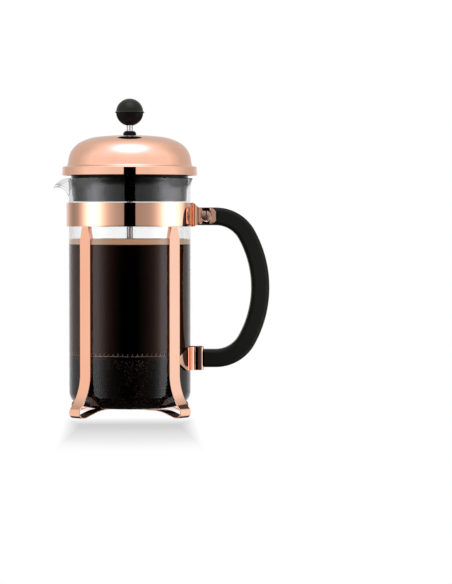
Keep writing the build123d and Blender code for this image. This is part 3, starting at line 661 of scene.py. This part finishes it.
COPPER = metal("polished_copper", *COPPER_LOOK)
SATIN_COPPER = make_satin_copper()
SCREW_COPPER = metal("worn_copper", (0.42, 0.27, 0.22), 0.3, 0.1, (0.36, 0.23, 0.185))
STEEL = metal("bright_steel", (0.72, 0.715, 0.70), 0.12, 0.05, (0.68, 0.672, 0.655))
BRASS = metal("turned_brass", (0.83, 0.62, 0.30), 0.2, 0.06, (0.78, 0.56, 0.26))
HANDLE_BLACK = plastic(
    "handle_plastic", (0.004, 0.004, 0.0042), (0.005, 0.005, 0.0052),
    roughness=0.5, rub=0.06, bump_strength=0.2, shine=0.17)
KNOB_BLACK = plastic(
    "knob_plastic", (0.005, 0.005, 0.0052), (0.006, 0.006, 0.0062),
    roughness=0.42, rub=0.06, bump_strength=0.15, shine=0.05)
CAP_BLACK = plastic(
    "knob_cap_plastic", (0.001, 0.001, 0.0004), (0.0016, 0.0016, 0.0008),
    roughness=0.27, rub=0.04, bump_strength=0.1, shine=0.27)
LINER_BLACK = plastic(
    "liner_plastic", (0.0012, 0.0012, 0.0013), (0.0018, 0.0018, 0.0019),
    roughness=0.1, rub=0.02, bump_strength=0.02, shine=0.06)
GLASS = make_glass()
LIP_GLASS = make_lip_glass()

FINISHES = {
    "frame_band": make_band_copper(),
    "leg_strip_a": COPPER,
    "leg_strip_b": COPPER,
    "cross_rivet": COPPER,
    "handle": HANDLE_BLACK,
    "handle_clip_front": COPPER,
    "handle_clip_rear": COPPER,
    "handle_screw": SCREW_COPPER,
    "handle_nut": SCREW_COPPER,
    "beaker": GLASS,
    "lid_dome": COPPER,
    "lid_liner": LINER_BLACK,
    "rod_bush": KNOB_BLACK,
    "bush_clip": STEEL,
    "knob_base": KNOB_BLACK,
    "knob_cap": CAP_BLACK,
    "knob_insert": BRASS,
    "plunger_rod": make_rod_steel(),
    "spiral_plate": STEEL,
    "rim_spring": STEEL,
    "filter_screen": make_mesh_cloth(),
    "cross_plate": STEEL,
    "hub_nut": STEEL,
}


# Pieces

def make_brew():
    """Coffee above the filter, drawn back a little where the screen and the coil press on the glass."""
    coil_top = COIL_Z + COIL_HALF_H + COIL_WIRE_R
    profile = [
        (0.0, SCREEN_LOW_Z), (COFFEE_LOW_R, SCREEN_LOW_Z), (COFFEE_LOW_R, coil_top),
        (COFFEE_R, coil_top + COFFEE_EASE), (COFFEE_R, COFFEE_TOP_Z), (0.0, COFFEE_TOP_Z),
    ]
    brew = turned("brewed_coffee", profile)
    dress(brew, make_coffee())
    return brew


def make_foam_ring():
    """Foam that floats on the coffee, its top drawn up at the glass."""
    profile = [(0.0, COFFEE_TOP_Z), (COFFEE_R, COFFEE_TOP_Z)]
    profile += [(COFFEE_R - inward, FOAM_TOP_Z + rise) for inward, rise in FOAM_EDGE]
    profile.append((0.0, FOAM_TOP_Z))
    foam = turned("coffee_foam", profile)
    dress(foam, make_foam())
    return foam


def make_grounds_bed():
    """Wet grounds that fill the beaker from its raised floor up to the filter."""
    profile = [(PUNT_R * out, GROUNDS_FLOOR_Z + PUNT_RISE * up) for out, up in PUNT_SHARES]
    corner_mid = (GROUNDS_R - GROUNDS_CORNER_R, GROUNDS_FLOOR_Z + GROUNDS_CORNER_R)
    profile += arc(corner_mid, GROUNDS_CORNER_R, -90, 0, 10)
    profile += [(GROUNDS_R, SCREEN_LOW_Z), (0.0, SCREEN_LOW_Z)]
    bed = turned("coffee_grounds", profile)
    dress(bed, make_grounds())
    return bed


def make_screen_hem():
    """Upper edge of the mesh, where it is pressed on the glass."""
    inner = HEM_R - HEM_WALL
    low = SCREEN_EDGE_Z - HEM_HEIGHT
    profile = [
        (inner, low), (HEM_R, low + HEM_SLOPE), (HEM_R, SCREEN_EDGE_Z), (inner, SCREEN_EDGE_Z),
        (inner, low),
    ]
    return turned("screen_hem", profile)


def make_coil():
    """Closed coil spring round the filter, its turns pressed on the glass."""
    curve = bpy.data.curves.new("rim_coil", "CURVE")
    curve.dimensions = "3D"
    spline = curve.splines.new("NURBS")
    total = COIL_TURNS * COIL_STEPS
    spline.points.add(total - 1)
    for index in range(total):
        ring = 2 * math.pi * index / total
        wind = 2 * math.pi * index / COIL_STEPS
        reach = (COIL_RING_R + (COIL_REACH_R - COIL_WIRE_R - COIL_RING_R) * math.cos(wind)) * MM
        height = (COIL_Z + COIL_HALF_H * math.sin(wind)) * MM
        spline.points[index].co = (reach * math.cos(ring), reach * math.sin(ring), height, 1.0)
    spline.use_cyclic_u = True
    spline.order_u = 4
    spline.resolution_u = 1
    curve.bevel_depth = COIL_WIRE_R * MM
    curve.bevel_resolution = 1
    coil = bpy.data.objects.new("rim_coil", curve)
    bpy.context.scene.collection.objects.link(coil)
    only(coil)
    bpy.ops.object.convert(target="MESH")
    coil = bpy.context.object
    bpy.ops.object.shade_smooth()
    return coil


def leg_path(cross_z):
    """Middle line of a whole strip, from one tab down, under the beaker and up to the other tab."""
    flare = math.radians(FOOT_FLARE_TURN)
    toe_x = LEG_REACH + FOOT_FLARE_R * (1 - math.cos(flare))
    toe_z = SHEET / 2 + FOOT_BEND_R * (1 + math.sin(flare))
    flare_top = toe_z + FOOT_FLARE_R * math.sin(flare)
    flare_mid = (LEG_REACH + FOOT_FLARE_R, flare_top)
    toe_mid = (toe_x - FOOT_BEND_R * math.cos(flare), SHEET / 2 + FOOT_BEND_R)
    heel_mid = (toe_mid[0] - FOOT_FLAT, toe_mid[1])
    climb = math.radians(FOOT_RISE_TURN)
    heel = arc(heel_mid, FOOT_BEND_R, -90, -90 - FOOT_RISE_TURN, 5)
    ease_low = cross_z - FOOT_EASE_R * (1 - math.cos(climb))
    climb_run = (ease_low - heel[-1][1]) / math.tan(climb)
    ease_start = (heel[-1][0] - climb_run, ease_low)
    ease_mid = (ease_start[0] - FOOT_EASE_R * math.sin(climb), cross_z - FOOT_EASE_R)
    half = [(LEG_REACH, LEG_TAB_TOP_Z), (LEG_REACH, LEG_TAB_LOW_Z), (LEG_REACH, LEG_TAPER_Z)]
    half += arc(flare_mid, FOOT_FLARE_R, 180, 180 + FOOT_FLARE_TURN, 12)
    half += arc(toe_mid, FOOT_BEND_R, FOOT_FLARE_TURN, -90, 14)[1:]
    half += heel
    half += arc(ease_mid, FOOT_EASE_R, 90 - FOOT_RISE_TURN, 90, 6)
    return half + [(-x, z) for x, z in reversed(half)]


def make_leg_strip(node, angle, cross_z):
    """Copper strip with rounded edges: two legs with looped feet and the run that joins them."""
    above_taper = (LEG_TAPER_Z + LEG_TAB_LOW_Z) / 2 * MM
    strip = drawn(node + "_finished", leg_path(cross_z))
    bpy.ops.transform.translate(value=(0, -LEG_WIDTH / 2 * MM, 0))
    bpy.ops.mesh.extrude_region_move(TRANSFORM_OT_translate={"value": (0, LEG_WIDTH * MM, 0)})
    edit_chosen(strip, lambda spot: spot.z > above_taper)
    bpy.ops.transform.resize(value=(1, LEG_TAB_WIDTH / LEG_WIDTH, 1), center_override=(0, 0, 0))
    bpy.ops.mesh.select_all(action="SELECT")
    bpy.ops.mesh.normals_make_consistent(inside=False)
    bpy.ops.transform.rotate(value=math.radians(angle), orient_axis="Z", center_override=(0, 0, 0))
    bpy.ops.object.mode_set(mode="OBJECT")
    bpy.ops.object.shade_smooth()
    thick = strip.modifiers.new("sheet", "SOLIDIFY")
    thick.thickness = SHEET * MM
    thick.offset = 0.0
    round_edges(strip, STRIP_EDGE, segments=3, limit=50)
    dress(strip, COPPER)
    strip.data.materials.append(SATIN_COPPER)
    for face in strip.data.polygons:
        outward = Vector((face.center.x, face.center.y, 0.0)).normalized()
        if face.center.z > INNER_SIDE_LOW_Z * MM and face.normal.dot(outward) < FACES_INWARD:
            face.material_index = 1
    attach(strip, "frame")
    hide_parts(node)


for node, finish in FINISHES.items():
    dress(NODES[node], finish)

make_leg_strip("leg_strip_a", LEG_ANGLE, CROSS_LOW_Z)
make_leg_strip("leg_strip_b", -LEG_ANGLE, CROSS_LOW_Z + SHEET)

for node, width, hands, bow in (
    ("frame_band", BAND_EDGE, (-1, 1), EAR_BOW),
    ("handle_clip_front", CLIP_EDGE, (-1,), CLIP_BOW),
    ("handle_clip_rear", CLIP_EDGE, (1,), CLIP_BOW),
    ("handle_screw", FASTENER_EDGE, (), None),
    ("handle_nut", FASTENER_EDGE, (), None),
):
    piece = rounded_copy(node, width, hands=hands, bow=bow)
    if bow is CLIP_BOW:
        feather_tab(piece, hands[0])

liner = merged_copy("lid_liner")
bpy.ops.transform.resize(value=(LINER_SHRINK, LINER_SHRINK, 1), center_override=(0, 0, 0))
finish_edit()

beaker = rounded_copy("beaker", RIM_EDGE, segments=3, limit=40, keep_angle=0.05, flat=False)
beaker.data.materials.append(LIP_GLASS)
for face in beaker.data.polygons:
    if face.center.x < -LIP_START_R * MM and face.center.z > LIP_LOW_Z * MM:
        face.material_index = 1

for piece in (make_brew(), make_foam_ring(), make_grounds_bed()):
    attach(piece, "beaker")

coil = make_coil()
dress(coil, make_coil_steel())
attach(coil, "plunger")
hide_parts("rim_spring")

hem = make_screen_hem()
dress(hem, make_coil_steel())
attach(hem, "plunger")


# Stage: a table top, studio and camera

TABLE_SIZE = 1.2
TABLE_Z = -0.0002
FLOOR_LEVEL = 0.57
BACK_LAMP_PLACE = (0.0, 1.1, 1.2)
BACK_LAMP_SIZE = 0.2
BACK_LAMP_WATTS = 17.0

# Where the table starts and ends to keep the shadow, in metres
SHADOW_BACK_Y = (-0.1, -0.035)
SHADOW_FRONT_Y = (-0.33, -0.13)
SHADOW_SIDE_X = (0.038, 0.05)

# Surround and the glass that mirrors it, in millimetres
GLASS_OUT_R = 47.5
SURROUND_R = 170.0
SURROUND_LOW_Z = -60.0
SURROUND_HIGH_Z = 147.6

# Light levels round the object, by degrees to the right of the camera: at the eye's level, on the
# surround, on the table, and on the table near the feet
STUDIO_LEVELS = (
    (-180, 1.0), (-150, 0.8), (-139, 0.55), (-124, 0.35), (-109, 0.46), (-97, 0.89), (-86, 1.75),
    (-75, 2.6), (-65, 2.6), (-52, 1.6), (-44, 1.0), (-36, 0.72), (-26, 0.55), (-11.5, 0.41), (0, 0.4),
    (11.5, 0.4), (30, 0.46), (38, 0.54), (44, 0.67), (52, 1.0), (60, 1.65), (69, 2.6), (88, 2.65),
    (98, 2.0), (109, 1.35), (122, 0.5), (138, 0.6), (155, 0.85), (180, 1.0),
)
LOW_LEVELS = (
    (-180, 1.0), (-150, 0.8), (-135, 0.5), (-118, 0.5), (-104, 0.8), (-97, (0.98, 0.89, 0.86)),
    (-84, (0.98, 0.89, 0.86)), (-79, 1.2), (-73, 1.55), (-64, 1.45), (-55, 0.77), (-46, 0.29),
    (-39, 0.12), (-30, 0.055), (-22, 0.03), (-12, 0.0), (12, 0.0), (22, 0.05), (30, 0.065),
    (39, 0.13), (46, 0.22), (55, 0.64), (64, 1.8), (73, 2.0), (79, 1.6),
    (84, (1.03, 1.11, 1.18)), (97, (1.03, 1.11, 1.18)),
    (104, 0.8), (118, 0.5), (135, 0.5), (150, 0.8), (180, 1.0),
)
FRONT_FLOOR_LEVELS = (
    (-180, 0.1), (-140, 0.1), (-122, 0.4), (-109, 0.6), (-97, 0.9), (-86, 1.2), (-75, 2.3), (-65, 2.5),
    (-52, 1.6), (-44, 1.0), (-36, 0.72), (-26, 0.55), (-11, 0.41), (11, 0.4), (30, 0.46), (38, 0.54),
    (44, 0.67), (52, 1.0), (60, 1.65), (69, 2.5), (78, 2.3), (88, 1.3), (98, 1.0), (109, 0.7),
    (122, 0.4), (140, 0.1), (180, 0.1),
)
STEEP_LEVELS = (
    (-180, 0.03), (-136, 0.03), (-126, 0.35), (-112, 1.0), (-85, 1.0), (-72, 0.3), (-60, 0.03),
    (60, 0.03), (72, 0.3), (85, 1.0), (112, 1.0), (126, 0.35), (136, 0.03), (180, 0.03),
)

# Dark panel behind the camera, in degrees to each side, and the radians of its soft edge
DARK_HALF_WIDTH = 10.3
DARK_EDGE = 0.005

# Bands in which one zone of light gives way to the next, by the upward part of a unit direction
TABLE_BAND = (-0.12, -0.02)
STEEP_BAND = (-0.5, -0.35)
UNDER_BAND = (-0.78, -0.72)
ROOF_BAND = (0.03, 0.09)
DARK_TOP_BAND = (0.24, 0.27)
SIDES_BAND = (0.55, 0.85)
UNDER_COLOUR = (0.03, 0.03, 0.03, 1.0)

# Lamp over the front of the object, and the roof's levels by the cosine of the angle from it
LAMP_WAY = (0.0, -0.342, 0.94)
ROOF_LEVELS = (
    (0.0, 0.76), (0.5, 0.80), (0.67, 0.92), (0.79, 1.08), (0.84, 1.23), (0.88, 1.47), (0.91, 1.76),
    (0.94, 2.15), (0.97, 2.55), (1.0, 2.7),
)

# More of the roof's light straight in front
FRONT_BAND = (0.3, 0.9)
FRONT_GAIN = 0.15

# Shares of the roof's light round its lower part
SIDE_SHARES = (
    (-180, 0.88), (-130, 0.88), (-112, 0.9), (-100, 1.05), (-90, 1.2), (-80, 1.36), (-71, 1.33),
    (-57, 1.25), (-43, 1.12), (-30, 1.0), (30, 1.0), (43, 1.12), (57, 1.25), (71, 1.33),
    (80, 1.36), (90, 1.2), (100, 1.05), (112, 0.9), (130, 0.88), (180, 0.88),
)

# The roof as polished pieces mirror it: grey up to white, and cooler up to its brightest level
ROOF_BRIGHTEST = 3.0
ROOF_COLOURS = ((0.0, 0.0), (1 / ROOF_BRIGHTEST, 1.0), (1.0, (2.9, 2.7, 4.0)))

# How light over white turns cooler: less green and more blue
LESS_GREEN = 0.03
MORE_BLUE = 0.08


def lamp_colour(level):
    """Grey up to white, and a little cooler beyond it."""
    over = max(level - 1.0, 0.0)
    return (level, level - LESS_GREEN * over, level + MORE_BLUE * over, 1.0)


def level_ramp(tree, share, levels):
    """Levels, or colours, along a share of 0 to 1."""
    ramp = add_node(tree, "ShaderNodeValToRGB", Fac=share)
    stops = ramp.color_ramp.elements
    while len(stops) < len(levels):
        stops.new(0.5)
    for stop, (place, level) in zip(stops, levels):
        stop.position = place
        stop.color = (*level, 1.0) if isinstance(level, tuple) else lamp_colour(level)
    return ramp.outputs["Color"]


def round_levels(tree, share, levels):
    """Levels by degrees, along a share of a whole turn that starts behind the object."""
    return level_ramp(tree, share, [(degrees / 360 + 0.5, level) for degrees, level in levels])


def share_of_turn(tree, place):
    """How far a place is to the front, its angle from there, and its share of a turn from behind."""
    toward = math_node(tree, "MULTIPLY", place["Y"], -1.0)
    turn = math_node(tree, "ARCTAN2", place["X"], toward)
    share = math_node(tree, "ADD", math_node(tree, "DIVIDE", turn, 2 * math.pi), 0.5)
    return toward, turn, share


def make_floor():
    """White table top that keeps the shadow in front of the press; a mirrored ray looks past it."""
    nothing_selected()
    bpy.ops.mesh.primitive_plane_add(size=TABLE_SIZE, location=(0, 0, TABLE_Z))
    bpy.ops.object.transform_apply(location=True, rotation=True, scale=True)
    floor = bpy.context.object
    floor.name = "floor"
    made, tree, shader = material("pale_floor", (FLOOR_LEVEL,) * 3, 0.9)
    shader.inputs["Specular IOR Level"].default_value = 0.0
    clear = add_node(tree, "ShaderNodeBsdfTransparent")
    white = add_node(tree, "ShaderNodeEmission")
    path = add_node(tree, "ShaderNodeLightPath")
    place = add_node(tree, "ShaderNodeSeparateXYZ", Vector=object_coords(tree)).outputs
    under = span(tree, place["Y"], *SHADOW_BACK_Y, 0.0, 1.0)
    ahead = span(tree, place["Y"], *SHADOW_FRONT_Y, 1.0, 0.0)
    beside = span(tree, math_node(tree, "ABSOLUTE", place["X"]), *SHADOW_SIDE_X, 0.0, 1.0)
    bare = math_node(tree, "MAXIMUM", beside, math_node(tree, "MAXIMUM", under, ahead))
    seen = math_node(tree, "MAXIMUM",
                     path.outputs["Is Camera Ray"], path.outputs["Is Transmission Ray"])
    lit = add_node(tree, "ShaderNodeMixShader", Fac=math_node(tree, "MULTIPLY", bare, seen))
    tree.links.new(shader.outputs[0], lit.inputs[1])
    tree.links.new(white.outputs[0], lit.inputs[2])
    both = add_node(tree, "ShaderNodeMixShader", Fac=path.outputs["Is Glossy Ray"])
    tree.links.new(lit.outputs[0], both.inputs[1])
    tree.links.new(clear.outputs[0], both.inputs[2])
    tree.links.new(both.outputs[0], tree.nodes["Material Output"].inputs["Surface"])
    dress(floor, made)


def surround_angle(degrees):
    """Where on the surround a ray lands that the glass mirrors to a side, in degrees from the front."""
    half = math.radians(degrees / 2)
    start = Vector((math.sin(half), -math.cos(half))) * GLASS_OUT_R
    way = Vector((math.sin(2 * half), -math.cos(2 * half)))
    along = start.dot(way)
    reach = math.sqrt(along ** 2 + SURROUND_R ** 2 - GLASS_OUT_R ** 2) - along
    landing = start + way * reach
    return math.degrees(math.atan2(landing.x, -landing.y))


def make_surround():
    """Low round screen that shows only in the polished legs and in the glass of the lower part."""
    surround = turned("surround", [(SURROUND_R, SURROUND_LOW_Z), (SURROUND_R, SURROUND_HIGH_Z)])
    made, tree, shader = material("surround", (0.0, 0.0, 0.0), 1.0)
    shader.inputs["Specular IOR Level"].default_value = 0.0
    place = add_node(tree, "ShaderNodeSeparateXYZ", Vector=object_coords(tree)).outputs
    _, _, share = share_of_turn(tree, place)
    levels = [(surround_angle(degrees), level) for degrees, level in LOW_LEVELS]
    shade = round_levels(tree, share, levels)
    tree.links.new(shade, shader.inputs["Emission Color"])
    shader.inputs["Emission Strength"].default_value = 1.0
    dress(surround, made)
    surround.visible_camera = False
    surround.visible_diffuse = False
    surround.visible_transmission = False
    surround.visible_shadow = False


def make_back_lamp():
    """Broad lamp high behind the press, which throws the soft shadow forward."""
    lamp = bpy.data.objects.new("back_lamp", bpy.data.lights.new("back_lamp", "AREA"))
    bpy.context.scene.collection.objects.link(lamp)
    lamp.location = BACK_LAMP_PLACE
    lamp.rotation_euler = Vector(BACK_LAMP_PLACE).to_track_quat("Z", "Y").to_euler()
    lamp.data.shape = "DISK"
    lamp.data.size = BACK_LAMP_SIZE
    lamp.data.energy = BACK_LAMP_WATTS
    lamp.visible_glossy = False
    lamp.visible_transmission = False
    lamp.visible_camera = False


def make_studio():
    """World that the press mirrors; the eye, also through glass, sees plain white instead."""
    world = bpy.data.worlds.new("studio")
    bpy.context.scene.world = world
    world.use_nodes = True
    tree = world.node_tree
    coords = add_node(tree, "ShaderNodeTexCoord").outputs["Generated"]
    way = add_node(tree, "ShaderNodeSeparateXYZ", Vector=coords).outputs
    toward, turn, share = share_of_turn(tree, way)
    path = add_node(tree, "ShaderNodeLightPath").outputs

    # Walls, and the table below them
    walls = round_levels(tree, share, STUDIO_LEVELS)
    low = span(tree, way["Z"], *TABLE_BAND, 1.0, 0.0)
    walls = blend_colour(tree, low, walls, round_levels(tree, share, FRONT_FLOOR_LEVELS))
    steep = span(tree, way["Z"], *STEEP_BAND, 1.0, 0.0)
    walls = blend_colour(tree, steep, walls, round_levels(tree, share, STEEP_LEVELS))
    under = span(tree, way["Z"], *UNDER_BAND, 1.0, 0.0)
    walls = blend_colour(tree, under, walls, UNDER_COLOUR)

    # Roof with its lamp, brighter in front and at the sides
    near = add_node(tree, "ShaderNodeVectorMath", {"operation": "DOT_PRODUCT"})
    tree.links.new(coords, near.inputs[0])
    near.inputs[1].default_value = LAMP_WAY
    roof = level_ramp(tree, near.outputs["Value"], ROOF_LEVELS)
    roof = math_node(tree, "ADD", roof, span(tree, toward, *FRONT_BAND, 0.0, FRONT_GAIN))
    sides = math_node(tree, "SUBTRACT", round_levels(tree, share, SIDE_SHARES), 1.0)
    sides = math_node(tree, "MULTIPLY", sides, span(tree, way["Z"], *SIDES_BAND, 1.0, 0.0))
    roof = math_node(tree, "MULTIPLY", roof, math_node(tree, "ADD", sides, 1.0))
    shown = level_ramp(tree, math_node(tree, "DIVIDE", roof, ROOF_BRIGHTEST), ROOF_COLOURS)
    roof = blend_colour(tree, path["Is Glossy Ray"], roof, shown)
    walls = blend_colour(tree, span(tree, way["Z"], *ROOF_BAND, 0.0, 1.0), walls, roof)

    # Dark panel behind the camera
    half = math.radians(DARK_HALF_WIDTH)
    turned_away = math_node(tree, "ABSOLUTE", turn)
    beside = span(tree, turned_away, half - DARK_EDGE, half + DARK_EDGE, 0.0, 1.0)
    above = span(tree, way["Z"], *DARK_TOP_BAND, 0.0, 1.0)
    bare = math_node(tree, "MAXIMUM", beside, above)
    walls = blend_colour(tree, bare, (0.0, 0.0, 0.0, 1.0), walls)

    # White for the eye, straight or through glass
    mirrored = math_node(tree, "COMPARE", path["Glossy Depth"], 1.0)
    straight = math_node(tree, "SUBTRACT", path["Is Transmission Ray"], mirrored)
    seen = math_node(tree, "MAXIMUM", path["Is Camera Ray"], straight)
    shade = blend_colour(tree, seen, walls, (1.0, 1.0, 1.0, 1.0))
    background = tree.nodes["Background"]
    tree.links.new(shade, background.inputs["Color"])
    background.inputs["Strength"].default_value = 1.0


def make_camera():
    """Camera whose frame is as high as the photograph at the axis of the press."""
    camera = bpy.data.objects.new("camera", bpy.data.cameras.new("camera"))
    bpy.context.scene.collection.objects.link(camera)
    camera.location = CAMERA_PLACE
    aim = Vector(CAMERA_AIM) - Vector(CAMERA_PLACE)
    camera.rotation_euler = aim.to_track_quat("-Z", "Y").to_euler()
    camera.data.sensor_width = SENSOR_MM
    camera.data.lens = SENSOR_MM * aim.length / (PHOTO_HIGH * PIXEL_MM * MM)
    bpy.context.scene.camera = camera


make_floor()
make_surround()
make_back_lamp()
make_studio()
make_camera()
bpy.context.scene.view_settings.view_transform = "Standard"
